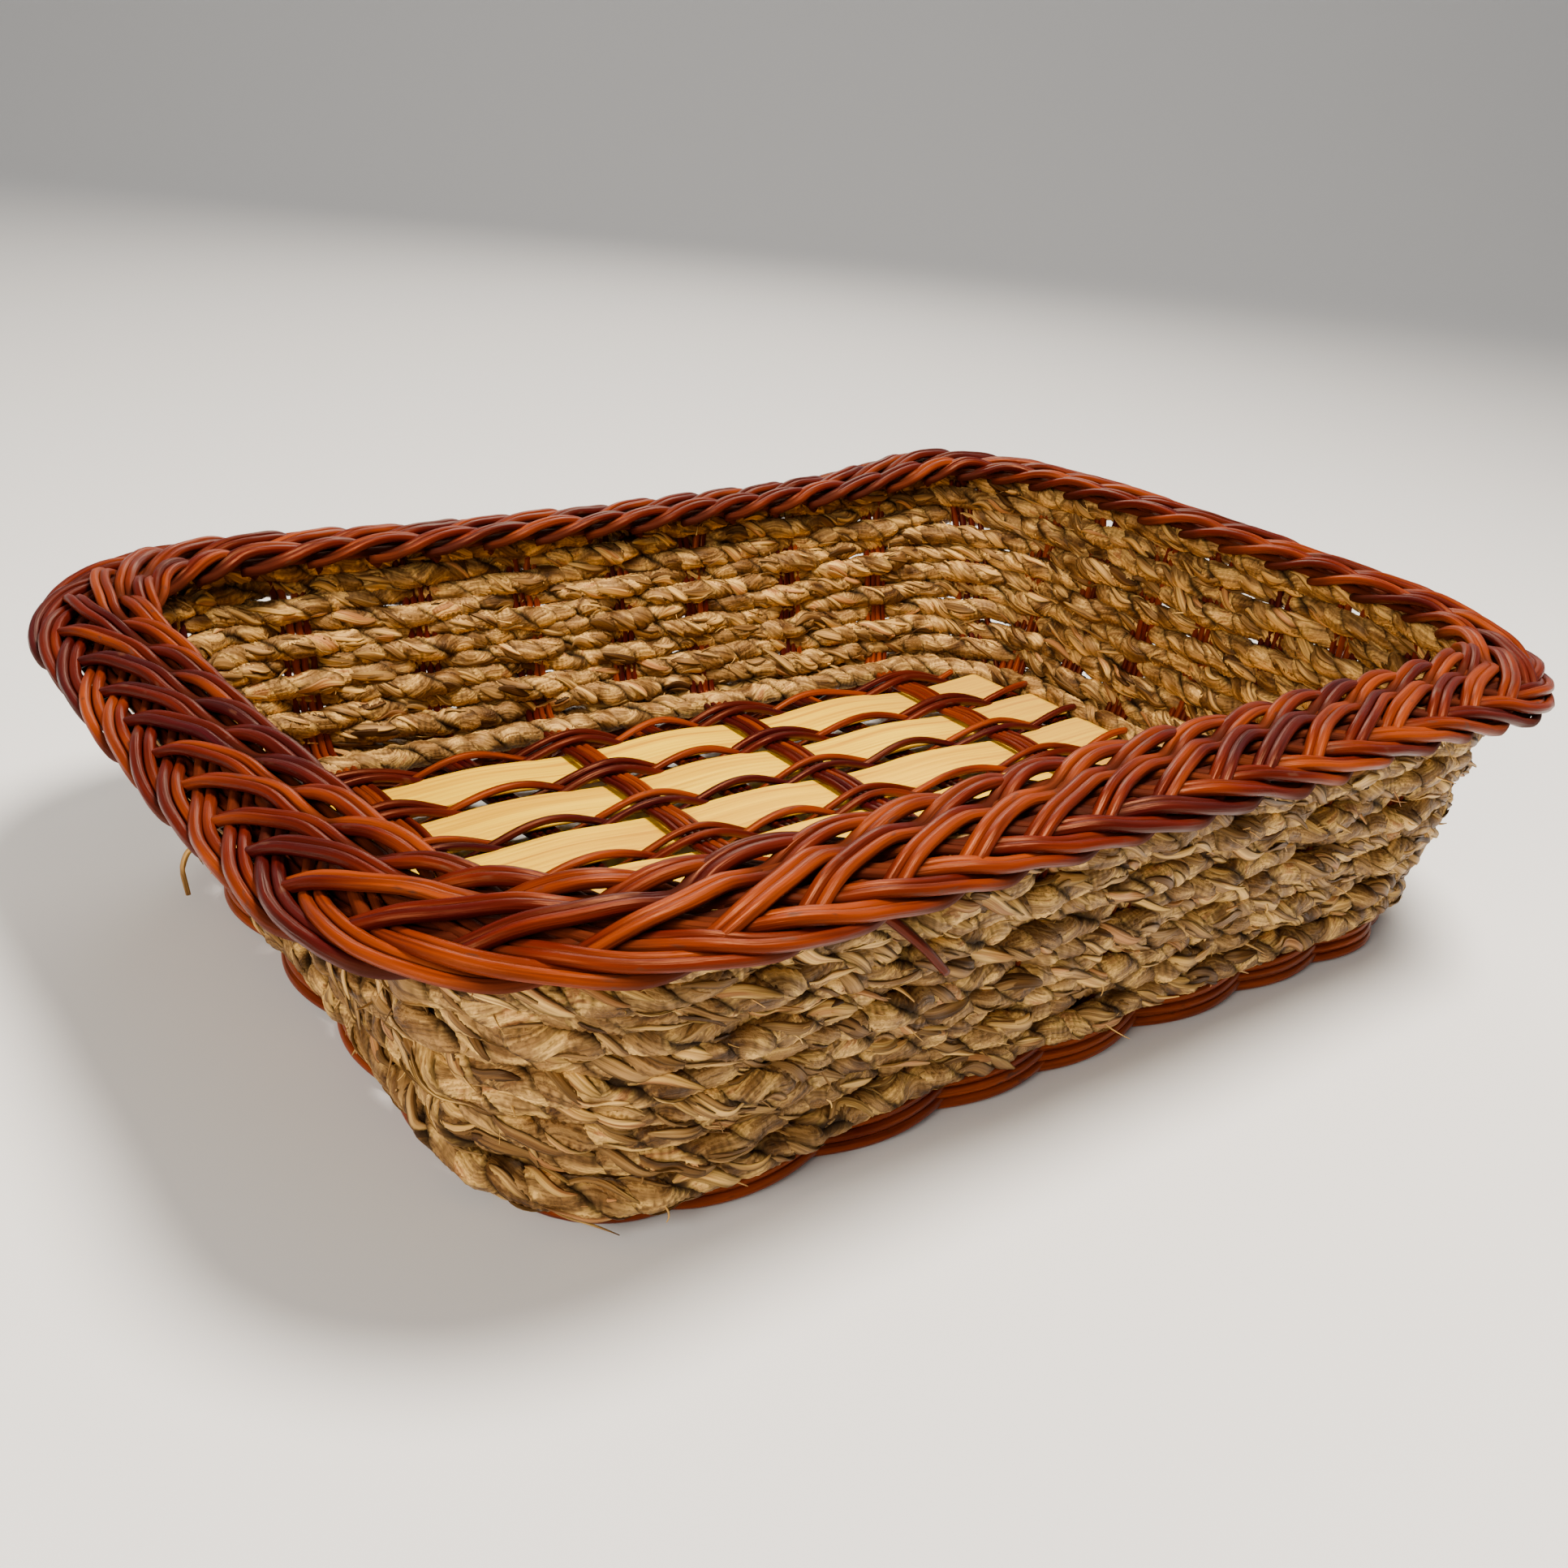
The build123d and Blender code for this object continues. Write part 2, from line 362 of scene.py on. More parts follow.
def unit(vectors):
    """The vectors at length one."""
    return vectors / np.linalg.norm(vectors, axis=-1, keepdims=True)


def smoothstep(value):
    """Rises smoothly from 0 at 0 to 1 at 1, and is level outside."""
    value = np.clip(value, 0.0, 1.0)
    return value * value * (3 - 2 * value)


def quadratic_weights(place):
    """Weights of the values at -1, 0 and 1 for a quadratic through them."""
    return np.stack([place * (place - 1) / 2, 1 - place**2, place * (place + 1) / 2])


def settled(points):
    """The points after the walls have sagged: the higher up, the more they follow the rim."""
    x = np.clip(points[..., 0] / RIM_HALF_X, -1, 1)
    y = np.clip(points[..., 1] / RIM_HALF_Y, -1, 1)
    weights = quadratic_weights(y)[:, None] * quadratic_weights(x)[None, :]
    rim, draw_x, draw_y = (
        np.tensordot(grid, weights, 2) for grid in (RIM_HEIGHTS, RIM_DRAW_X, RIM_DRAW_Y)
    )
    from_peak = np.linalg.norm(points[..., :2] - PEAK_PLACE, axis=-1)
    rim = rim + PEAK_RISE * np.exp(-((from_peak / PEAK_REACH) ** 2))
    share = smoothstep((points[..., 2] - SAG_START) / (RIM_TOP - SAG_START))
    return points + np.stack([share * draw_x, share * draw_y, share * (rim - RIM_TOP)], -1)


def wander(place, size, waves, count=6):
    """A smooth random curve of about that size over a closed way, where place runs from 0 to 1.
    It adds up count sine curves, each with a number of waves drawn from the range."""
    total = np.zeros_like(place)
    for _ in range(count):
        total += np.sin(tau * (rng.integers(*waves) * place + rng.random()))
    return size * total / np.sqrt(count)


def rounded_ring(half_x, half_y, corner, samples=16):
    """Points, outward normals and distances round a rounded rectangle, counter-clockwise."""
    points = []
    normals = []
    for quarter, (sign_x, sign_y) in enumerate(((1, 1), (-1, 1), (-1, -1), (1, -1))):
        turn = (quarter + np.linspace(0, 1, samples)) * pi / 2
        normal = np.stack([np.cos(turn), np.sin(turn)], 1)
        middle = np.array([sign_x * (half_x - corner), sign_y * (half_y - corner)])
        points.append(middle + corner * normal)
        normals.append(normal)
    points = np.concatenate([*points, points[0][:1]])
    normals = np.concatenate([*normals, normals[0][:1]])
    distances = np.concatenate([[0], np.cumsum(np.linalg.norm(np.diff(points, axis=0), axis=1))])
    return points, normals, distances


def on_ring(ring, distance):
    """Points and outward normals of a ring at some distances along it."""
    points, normals, distances = ring
    distance = np.mod(distance, distances[-1])
    place = [np.interp(distance, distances, points[:, axis]) for axis in (0, 1)]
    normal = [np.interp(distance, distances, normals[:, axis]) for axis in (0, 1)]
    return np.stack(place, 1), unit(np.stack(normal, 1))


def distance_on_ring(ring, place):
    """How far along a ring its nearest point to a place lies."""
    distances = np.linspace(0, ring[2][-1], RING_SAMPLES)
    points, _ = on_ring(ring, distances)
    return distances[np.argmin(np.linalg.norm(points - place, axis=1))]


def evenly(count, spacing):
    """Positions of equally spaced things, centred on zero."""
    return (np.arange(count) - (count - 1) / 2) * spacing


def resampled(points, step):
    """The same open way with points about that far apart."""
    lengths = np.linalg.norm(np.diff(points, axis=0), axis=1)
    distances = np.concatenate([[0], np.cumsum(lengths)])
    places = np.linspace(0, distances[-1], max(3, int(distances[-1] / step) + 1))
    return np.stack([np.interp(places, distances, points[:, axis]) for axis in range(3)], 1)


def softened(points, step, reach):
    """An open way with its corners rounded over about the given reach."""
    points = resampled(points, step)
    width = max(1, int(reach / step))
    kernel = np.hanning(2 * width + 3)[1:-1]
    kernel /= kernel.sum()
    padded = np.vstack([np.repeat(points[:1], width, 0), points, np.repeat(points[-1:], width, 0)])
    smooth = np.stack([np.convolve(padded[:, axis], kernel, "valid") for axis in range(3)], 1)
    smooth[0] = points[0]
    smooth[-1] = points[-1]
    return smooth


def spline(knots, values, places):
    """A smooth curve through the knots (a Catmull-Rom spline over uneven knots)."""
    slopes = np.gradient(values, knots, axis=0)
    index = np.clip(np.searchsorted(knots, places, "right") - 1, 0, len(knots) - 2)
    span = knots[index + 1] - knots[index]
    t = ((places - knots[index]) / span)[:, None]
    span = span[:, None]
    return (
        (2 * t**3 - 3 * t**2 + 1) * values[index]
        + (t**3 - 2 * t**2 + t) * span * slopes[index]
        + (3 * t**2 - 2 * t**3) * values[index + 1]
        + (t**3 - t**2) * span * slopes[index + 1]
    )


class Bundle:
    """Collects the tubes of one piece and makes one mesh of them."""

    def __init__(self):
        self.points = []
        self.faces = []
        self.grain = []
        self.tint = []
        self.depth = []
        self.count = 0

    def add(self, path, wide, thick=None, across=UP, sides=8, square=1.0, lobes=None,
            turn=0.0, tint=None, depth=1.0, closed=False):
        """Adds a tube along a path. wide is its half width in the direction across, thick its
        half thickness, square under 1 makes its section boxy, and lobes scales its radius.
        turn is how far the strand is twisted, tint picks its colour, and depth is painted light and
        shade: 0 in full painted shade, 1 in none."""
        path = settled(path)
        thick = wide if thick is None else thick
        steps = np.roll(path, -1, 0) - np.roll(path, 1, 0) if closed else np.gradient(path, axis=0)
        tangent = unit(steps)
        across = np.broadcast_to(across, path.shape)
        first = unit(across - tangent * (across * tangent).sum(1, keepdims=True))
        second = np.cross(tangent, first)
        angles = np.linspace(0, tau, sides, endpoint=False)
        cosine = np.sign(np.cos(angles)) * np.abs(np.cos(angles)) ** square
        sine = np.sign(np.sin(angles)) * np.abs(np.sin(angles)) ** square
        scale = np.ones((len(path), sides)) if lobes is None else lobes
        first_size = np.broadcast_to(wide, len(path))[:, None] * cosine * scale
        second_size = np.broadcast_to(thick, len(path))[:, None] * sine * scale
        ring = path[:, None] + first[:, None] * first_size[..., None]
        ring = ring + second[:, None] * second_size[..., None]
        self._add_grain(path, first_size, second_size, turn)
        self._add_faces(len(path), sides, closed)
        self.points.append(ring.reshape(-1, 3))
        tint = rng.random() if tint is None else tint
        self.tint.append(self._spread(tint, len(path), sides))
        self.depth.append(self._spread(depth, len(path), sides))
        self.count += len(path) * sides

    @staticmethod
    def _spread(value, length, sides):
        """One value for every point of a tube, from one for all, one for each ring or all of them."""
        value = np.asarray(value, float)
        if value.ndim == 1:
            value = value[:, None]
        return np.broadcast_to(value, (length, sides)).reshape(-1)

    def _add_grain(self, path, first_size, second_size, turn):
        """The surface's place in the strand's own space: along it and across it, untwisted."""
        lengths = np.linalg.norm(np.diff(path, axis=0), axis=1)
        along = np.concatenate([[0], np.cumsum(lengths)]) + rng.random() * 5
        turn = np.broadcast_to(turn, len(path))[:, None]
        first = first_size * np.cos(turn) + second_size * np.sin(turn)
        second = second_size * np.cos(turn) - first_size * np.sin(turn)
        along = np.broadcast_to(along[:, None], first.shape)
        self.grain.append(np.stack([along, first, second], -1).reshape(-1, 3))

    def _add_faces(self, length, sides, closed):
        """Quads between the rings of a tube, and a flat face at each end of an open one."""
        rows = np.arange(length if closed else length - 1)[:, None]
        columns = np.arange(sides)[None, :]
        next_row = (rows + 1) % length
        next_column = (columns + 1) % sides
        quads = np.stack(
            [
                rows * sides + columns,
                rows * sides + next_column,
                next_row * sides + next_column,
                next_row * sides + columns,
            ],
            -1,
        )
        self.faces += (quads.reshape(-1, 4) + self.count).tolist()
        if not closed:
            start = np.arange(sides) + self.count
            self.faces.append(start[::-1].tolist())
            self.faces.append((start + (length - 1) * sides).tolist())

    def finish(self, node, material, slot):
        """Makes the collected tubes the shown piece in place of a CAD node."""
        mesh = bpy.data.meshes.new(node + "_woven")
        mesh.from_pydata(np.concatenate(self.points).tolist(), [], self.faces)
        mesh.shade_smooth()
        grain = mesh.attributes.new("grain", "FLOAT_VECTOR", "POINT")
        grain.data.foreach_set("vector", np.concatenate(self.grain).astype(np.float32).ravel())
        for name, values in (("tint", self.tint), ("depth", self.depth)):
            layer = mesh.attributes.new(name, "FLOAT", "POINT")
            layer.data.foreach_set("value", np.concatenate(values).astype(np.float32))
        mesh.materials.append(material)
        piece = bpy.data.objects.new(node + "_woven", mesh)
        bpy.context.collection.objects.link(piece)
        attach(piece, "root")
        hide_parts(node)


# Materials


class Paint:
    """A Principled material built up from noise in each strand's own space."""

    def __init__(self, name, **settings):
        self.material = bpy.data.materials.new(name)
        self.material.use_nodes = True
        self.tree = self.material.node_tree
        self.shader = self.tree.nodes["Principled BSDF"]
        for socket, value in settings.items():
            self.shader.inputs[socket.replace("_", " ")].default_value = value

    def connect(self, value, socket):
        """Links another node's output to a socket, or sets the socket to a value."""
        if isinstance(value, bpy.types.NodeSocket):
            self.tree.links.new(value, socket)
        else:
            socket.default_value = value

    def node(self, kind, **inputs):
        made = self.tree.nodes.new(kind)
        for name, value in inputs.items():
            self.connect(value, made.inputs[name])
        return made

    def attribute(self, name, output="Fac"):
        """One of the values that a Bundle stores at each point: grain, tint or depth, which is the
        painted light and shade.
        """
        made = self.node("ShaderNodeAttribute")
        made.attribute_name = name
        return made.outputs[output]

    def noise(self, stretch, scale, detail=3.0, distortion=0.0):
        """Noise in strand space, scaled by stretch along the strand and across it."""
        mapping = self.node("ShaderNodeMapping", Vector=self.attribute("grain", "Vector"))
        mapping.inputs["Scale"].default_value = (stretch, 1, 1)
        made = self.node(
            "ShaderNodeTexNoise",
            Vector=mapping.outputs["Vector"],
            Scale=scale,
            Detail=detail,
            Distortion=distortion,
        )
        return made.outputs["Fac"]

    def math(self, operation, first, second):
        made = self.tree.nodes.new("ShaderNodeMath")
        made.operation = operation
        self.connect(first, made.inputs[0])
        self.connect(second, made.inputs[1])
        return made.outputs[0]

    def between(self, value, low, high, low_to=0.0, high_to=1.0):
        """Maps low to high onto low_to to high_to, and holds the ends."""
        made = self.node("ShaderNodeMapRange", Value=value)
        for name, bound in zip(("From Min", "From Max", "To Min", "To Max"),
                               (low, high, low_to, high_to)):
            made.inputs[name].default_value = bound
        return made.outputs["Result"]

    def ramp(self, value, stops):
        """A colour between the stops, which are pairs of a place and a colour."""
        made = self.node("ShaderNodeValToRGB", Fac=value)
        elements = made.color_ramp.elements
        while len(elements) < len(stops):
            elements.new(0.5)
        for element, (place, colour) in zip(elements, stops):
            element.position = place
            element.color = (*colour, 1)
        return made.outputs["Color"]

    def mix(self, share, first, second, mode="MIX"):
        """The first colour where share is 0, and the second mixed with it where share is 1."""
        made = self.tree.nodes.new("ShaderNodeMix")
        made.data_type = "RGBA"
        made.blend_type = mode
        sockets = {socket.identifier: socket for socket in made.inputs}
        self.connect(share, sockets["Factor_Float"])
        for name, colour in (("A_Color", first), ("B_Color", second)):
            colour = (*colour, 1) if isinstance(colour, tuple) else colour
            self.connect(colour, sockets[name])
        return next(socket for socket in made.outputs if socket.identifier == "Result_Color")

    def finish(self, colour, roughness, height, bump_distance):
        self.connect(colour, self.shader.inputs["Base Color"])
        self.connect(roughness, self.shader.inputs["Roughness"])
        bump = self.node("ShaderNodeBump", Height=height)
        bump.inputs["Distance"].default_value = bump_distance
        self.connect(bump.outputs["Normal"], self.shader.inputs["Normal"])
        return self.material


def reed_material():
    """Varnished red-brown reed: long streaks, darker patches and a soft gloss."""
    paint = Paint("red_reed", Specular_IOR_Level=0.26, Specular_Tint=(1.0, 0.38, 0.16, 1))
    streaks = paint.noise(0.03, 1400, 4)
    patches = paint.noise(0.5, 45, 2)
    value = paint.math("ADD", paint.attribute("tint"), paint.between(patches, 0.3, 0.7, -0.30, 0.30))
    # The top stop is reached mostly by the foot band's reeds, which are painted lighter as painted
    # light.
    colour = paint.ramp(
        value,
        [
            (0.0, (0.036, 0.003, 0.006)),
            (0.3, (0.054, 0.004, 0.003)),
            (0.6, (0.092, 0.007, 0.002)),
            (1.0, (0.230, 0.036, 0.003)),
        ],
    )
    dark = paint.between(streaks, 0.30, 0.62)
    colour = paint.mix(dark, paint.mix(0.75, colour, (0.30, 0.22, 0.22), "MULTIPLY"), colour)
    specks = paint.between(paint.noise(0.35, 520, 2), 0.66, 0.74)
    colour = paint.mix(specks, colour, (0.07, 0.02, 0.012))
    # Painted shade: the reed turns dark where it lies low in the plait or in the plait's core.
    depth = paint.attribute("depth")
    colour = paint.mix(depth, (0.022, 0.004, 0.003), colour)
    roughness = paint.between(patches, 0.3, 0.7, 0.26, 0.42)
    roughness = paint.math("ADD", roughness, paint.between(depth, 0.3, 0.9, 0.45, 0.0))
    return paint.finish(colour, roughness, streaks, 0.00025)


def seagrass_material():
    """Dry seagrass leaves: olive and tan strips with fine fibres, and painted shade in the valleys."""
    paint = Paint("seagrass_leaf", Specular_IOR_Level=0.32, Specular_Tint=(1.0, 0.72, 0.42, 1))
    fibres = paint.noise(0.02, 1500, 5)
    leaves = paint.noise(0.06, 520, 3)
    patches = paint.noise(0.4, 60, 2)
    value = paint.math("ADD", paint.attribute("tint"), paint.between(leaves, 0.3, 0.7, -0.30, 0.30))
    value = paint.math("ADD", value, paint.between(patches, 0.3, 0.7, -0.28, 0.28))
    colour = paint.ramp(
        value,
        [
            (0.0, (0.060, 0.022, 0.006)),
            (0.25, (0.190, 0.090, 0.024)),
            (0.55, (0.430, 0.245, 0.080)),
            (0.80, (0.960, 0.600, 0.170)),
            (1.0, (0.520, 0.240, 0.080)),
        ],
    )
    dark = paint.between(fibres, 0.28, 0.58)
    colour = paint.mix(dark, paint.mix(0.85, colour, (0.18, 0.13, 0.08), "MULTIPLY"), colour)
    # Painted shade: near black in the rope's core, on the plies' inner sides and in the valleys between
    # leaves.
    depth = paint.attribute("depth")
    colour = paint.mix(depth, (0.006, 0.002, 0.001), colour)
    roughness = paint.between(leaves, 0.3, 0.7, 0.32, 0.55)
    roughness = paint.math("ADD", roughness, paint.between(depth, 0.2, 0.8, 0.4, 0.0))
    height = paint.math("ADD", fibres, leaves)
    return paint.finish(colour, roughness, height, 0.0004)


def slat_material():
    """Pale yellow wood with a fine straight grain and faint brown streaks."""
    paint = Paint("pale_slat_wood", Specular_IOR_Level=0.15, Specular_Tint=(1.0, 0.80, 0.50, 1))
    grain = paint.noise(0.02, 900, 5)
    bands = paint.noise(0.04, 160, 3, 0.4)
    colour = paint.ramp(
        bands,
        [
            (0.25, (0.740, 0.410, 0.002)),
            (0.50, (0.920, 0.570, 0.003)),
            (0.80, (1.000, 0.700, 0.004)),
        ],
    )
    streaks = paint.between(paint.noise(0.03, 420, 3, 0.2), 0.56, 0.70)
    colour = paint.mix(paint.math("MULTIPLY", streaks, 0.65), colour, (0.50, 0.19, 0.010))
    fine = paint.between(grain, 0.3, 0.6)
    colour = paint.mix(fine, paint.mix(0.6, colour, (0.66, 0.48, 0.26), "MULTIPLY"), colour)
    colour = paint.mix(paint.attribute("tint"), colour, (0.40, 0.22, 0.075))
    roughness = paint.between(grain, 0.3, 0.7, 0.36, 0.52)
    return paint.finish(colour, roughness, grain, 0.0002)


# Walls and stakes


def wall_outline(height):
    """Half length, half depth and corner radius of the walls' middle surface at a height."""
    corner = WALL_CORNER_LOW + (WALL_CORNER_HIGH - WALL_CORNER_LOW) * height / RIM_TOP
    flare = FLARE * smoothstep((height - FLARE_START) / (RIM_TOP - FLARE_START))
    half_x = np.interp(height, ROW_HEIGHTS, ROW_HALF_X) + flare
    half_y = np.interp(height, ROW_HEIGHTS, ROW_HALF_Y) + flare
    return half_x, half_y, corner


def edge_at(distance, half_side, half_other, corner):
    """How far out a rounded rectangle reaches at a distance along its other axis."""
    past_corner = np.maximum(0.0, np.abs(distance) - (half_other - corner))
    return half_side - corner + np.sqrt(np.maximum(corner**2 - past_corner**2, 0.0))


def fan_share(height):
    """How far the stakes have fanned out at a height."""
    return np.clip(height / RIM_TOP, 0, 1) ** FAN_POWER


def long_wall_points(foot_x, heights, side):
    """Where a reed that leaves the floor at foot_x stands in the near (-1) or far (1) wall."""
    half_x, half_y, corner = wall_outline(heights)
    x = foot_x * (1 + FAN_ALONG * fan_share(heights))
    return np.stack([x, side * (edge_at(x, half_y, half_x, corner) - STAKE_INSET), heights], 1)


def short_wall_points(foot_y, heights, side):
    """Where a reed that leaves the floor at foot_y stands in the left (-1) or right (1) wall."""
    half_x, half_y, corner = wall_outline(heights)
    y = foot_y * (1 + FAN_ACROSS * fan_share(heights))
    return np.stack([side * (edge_at(y, half_x, half_y, corner) - STAKE_INSET), y, heights], 1)


def stake_places(height):
    """The middle of each stake at a height, counter-clockwise from the near left corner."""
    level = np.array([height])
    places = [long_wall_points(x, level, -1)[0, :2] for x in CROSS_X]
    places += [short_wall_points(y, level, 1)[0, :2] for y in END_Y]
    places += [long_wall_points(x, level, 1)[0, :2] for x in CROSS_X[::-1]]
    return places + [short_wall_points(y, level, -1)[0, :2] for y in END_Y[::-1]]


def split_apart(heights, shift):
    """How far a stake's reeds part into two pairs near the rim."""
    share = smoothstep((heights - SPLIT_HEIGHT) / (RIM_TOP - SPLIT_HEIGHT))
    return np.sign(shift) * SPLIT_WIDTH * share**SPLIT_POWER


def make_cross_stakes(material):
    """Bands of four reeds, up the near wall, across the floor and up the far wall."""
    for index, node in enumerate(nodes_called("cross_stake_")):
        foot = CROSS_X[index]
        lift = 1 if index % 2 == 1 else -1
        level = FLOOR_LEVEL + lift * STAKE_LIFT
        stake = Bundle()
        for shift in evenly(STAKE_REEDS, REED_SPACING):
            heights = np.linspace(level, STAKE_TOP, STAKE_POINTS_IN_WALL)
            walls = []
            for side in (-1, 1):
                wall = long_wall_points(foot + shift, heights, side)
                wall[:, 0] += split_apart(heights, shift)
                walls.append(wall)
            half = abs(walls[0][0, 1]) - STAKE_FLOOR_INSET
            y = np.linspace(-half, half, STAKE_POINTS_IN_FLOOR)
            rise = lift * STAKE_WAVE * np.cos(tau * y / SLAT_PITCH)
            floor = np.stack([np.full_like(y, foot + shift), y, level + rise], 1)
            way = softened(np.vstack([walls[0][::-1], floor, walls[1]]), STAKE_STEP, BEND_SOFTNESS)
            way[:, 0] += wander(np.linspace(0, 1, len(way)), STAKE_UNEVEN, (2, 9))
            radius = REED_RADIUS * rng.uniform(*STAKE_REED_SCALE)
            stake.add(way, radius, across=ALONG_X, sides=REED_SIDES)
        stake.finish(node, material, "red_reed")


def make_end_stakes(material):
    """Bands of four reeds, from under the floor's ends up the left and right walls."""
    level = FLOOR_LEVEL - STAKE_LIFT
    for name, side in (("left", -1), ("right", 1)):
        for node, foot in zip(nodes_called(f"end_stake_{name}_"), END_Y):
            stake = Bundle()
            for shift in evenly(STAKE_REEDS, REED_SPACING):
                heights = np.linspace(level, STAKE_TOP, STAKE_POINTS_IN_WALL)
                wall = short_wall_points(foot + shift, heights, side)
                wall[:, 1] += split_apart(heights, shift)
                tail = np.array([[side * END_TAIL, foot + shift, level]])
                way = softened(np.vstack([tail, wall]), STAKE_STEP, BEND_SOFTNESS)
                radius = REED_RADIUS * rng.uniform(*STAKE_REED_SCALE)
                stake.add(way, radius, across=ALONG_Y, sides=REED_SIDES)
            stake.finish(node, material, "red_reed")


# Floor and foot


def make_slats(material):
    """Flat slats with rounded edges along the floor."""
    for node in nodes_called("floor_slat_"):
        low, high = np.array(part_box(node))
        middle = (low + high) / 2
        half = (high - low) / 2
        x = np.arange(low[0], high[0], SLAT_STEP)
        share = (x - low[0]) / (high[0] - low[0])
        wave = SLAT_WAVE * np.cos(tau * x / (2 * CROSS_PITCH))
        z = middle[2] + wave + wander(share, SLAT_UNEVEN_LEVEL, (2, 6))
        y = middle[1] + wander(share, SLAT_UNEVEN_ACROSS, (1, 4))
        path = np.stack([x, y, z], 1)
        wide = half[1] + SLAT_SWELL + wander(share, SLAT_UNEVEN_WIDTH, (3, 12))
        browning = SLAT_BROWNING * smoothstep((x / high[0] - SLAT_BROWNING_START) / (1 - SLAT_BROWNING_START))
        slat = Bundle()
        slat.add(path, wide, half[2], ALONG_Y, SLAT_SIDES, SLAT_SQUARE, tint=browning)
        slat.finish(node, material, "slat_wood")


def stake_phase(x):
    """Counts the cross stakes along X: whole numbers at the stakes, odd at those over the slats."""
    return np.interp(x, CROSS_X, np.arange(CROSS_COUNT)) + (
        np.minimum(x - CROSS_X[0], 0) + np.maximum(x - CROSS_X[-1], 0)
    ) / CROSS_PITCH


def lane_level(x, phase):
    """Height of a floor reed above the floor's middle as it passes over and under the stakes."""
    return LANE_SWING * np.cos(pi * stake_phase(x)) * phase


def make_floor_reeds(material):
    """Lanes of three reeds, of which the middle one weaves against the outer two."""
    for node in nodes_called("floor_reeds_"):
        low, high = np.array(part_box(node))
        middle_y = (low[1] + high[1]) / 2
        lane = Bundle()
        for shift in evenly(LANE_REEDS, LANE_SPACING):
            phase = 1 if shift == 0 else -1
            x = np.arange(low[0], high[0], LANE_STEP)
            share = (x - low[0]) / (high[0] - low[0])
            y = middle_y + shift + wander(share, LANE_UNEVEN_ACROSS, (3, 9))
            z = FLOOR_LEVEL + lane_level(x, phase) + wander(share, LANE_UNEVEN_LEVEL, (3, 9))
            path = np.stack([x, y, np.maximum(z, LANE_LOWEST)], 1)
            lane.add(path, REED_RADIUS * rng.uniform(*LANE_REED_SCALE), sides=REED_SIDES)
        lane.finish(node, material, "red_reed")


def make_foot_band(material):
    """The foot: long arcs of three reeds that bow outwards, laid over one another."""
    half_x, half_y = FOOT_HALF - FOOT_INSET
    ring = rounded_ring(half_x, half_y, FOOT_CORNER)
    pitch = ring[2][-1] / FOOT_ARCS
    share = np.linspace(0, 1, FOOT_ARC_POINTS)
    out = FOOT_ARC_BOW * np.sin(pi * share) ** FOOT_ARC_FULLNESS - FOOT_ARC_TUCK
    band = Bundle()
    for arc in range(FOOT_ARCS):
        start = arc + rng.uniform(-FOOT_ARC_UNEVEN, FOOT_ARC_UNEVEN)
        places, normals = on_ring(ring, (start + FOOT_ARC_LENGTH * share) * pitch)
        # Painted light: a high tint paints the arc lighter.
        tint = rng.uniform(*FOOT_LIT_TINT)
        for reed in range(FOOT_REEDS):
            level = FOOT_REED_RADIUS + FOOT_REED_SPACING * reed + FOOT_ARC_RISE * share
            reed_out = out - FOOT_REED_LEAN * reed
            path = np.column_stack([places + normals * reed_out[:, None], level])
            reed_tint = tint + rng.uniform(*FOOT_REED_TINT)
            band.add(path, FOOT_REED_RADIUS, sides=REED_SIDES, tint=reed_tint)
    band.finish("foot_band", material, "red_reed")


# Seagrass rope


def weave(ring, distances, height, first_side):
    """From -1 inside the walls to 1 outside them, changing sides at every stake."""
    stakes = sorted((distance_on_ring(ring, place), i) for i, place in enumerate(stake_places(height)))
    at = np.array([stake[0] for stake in stakes])
    sides = np.array([first_side * (-1) ** stake[1] for stake in stakes], float)
    total = ring[2][-1]
    at = np.concatenate([at[-1:] - total, at, at[:1] + total])
    sides = np.concatenate([sides[-1:], sides, sides[:1]])
    index = np.searchsorted(at, distances, "right") - 1
    share = (distances - at[index]) / (at[index + 1] - at[index])
    return sides[index] * np.cos(pi * share) ** 3


def rope_centre(number, offset, rise):
    """The closed centre line of one rope, with its outward normals, shares and length."""
    height = ROW_LIFT_START + ROW_LIFT * (ROW_HEIGHTS[number - 1] - ROW_LIFT_START) + rise
    half_x, half_y, corner = (size + offset for size in wall_outline(height))
    ring = rounded_ring(half_x, half_y, corner)
    total = ring[2][-1]
    distances = np.linspace(0, total, int(total / ROPE_STEP), endpoint=False)
    places, normals = on_ring(ring, distances)
    share = distances / total
    out = np.zeros_like(share)
    if number > 1:
        swing = ROPE_SWING + wander(share, SWING_UNEVEN, (3, 30))
        out = swing * weave(ring, distances, height, (-1) ** (number + 1))
    out = out + wander(share, ROPE_UNEVEN_OUT, (8, 40))
    level = height + wander(share, ROPE_UNEVEN_LEVEL, (6, 40))
    hang = np.exp(-(((places + NEAR_CORNER) / HANG_REACH) ** 2).sum(1)) * np.exp(-height / HANG_HEIGHT)
    out = out + HANG_OUT * hang
    level = level - HANG_DROP * hang
    centre = np.column_stack([places + normals * out[:, None], level])
    return centre, np.column_stack([normals, np.zeros(len(normals))]), share, total


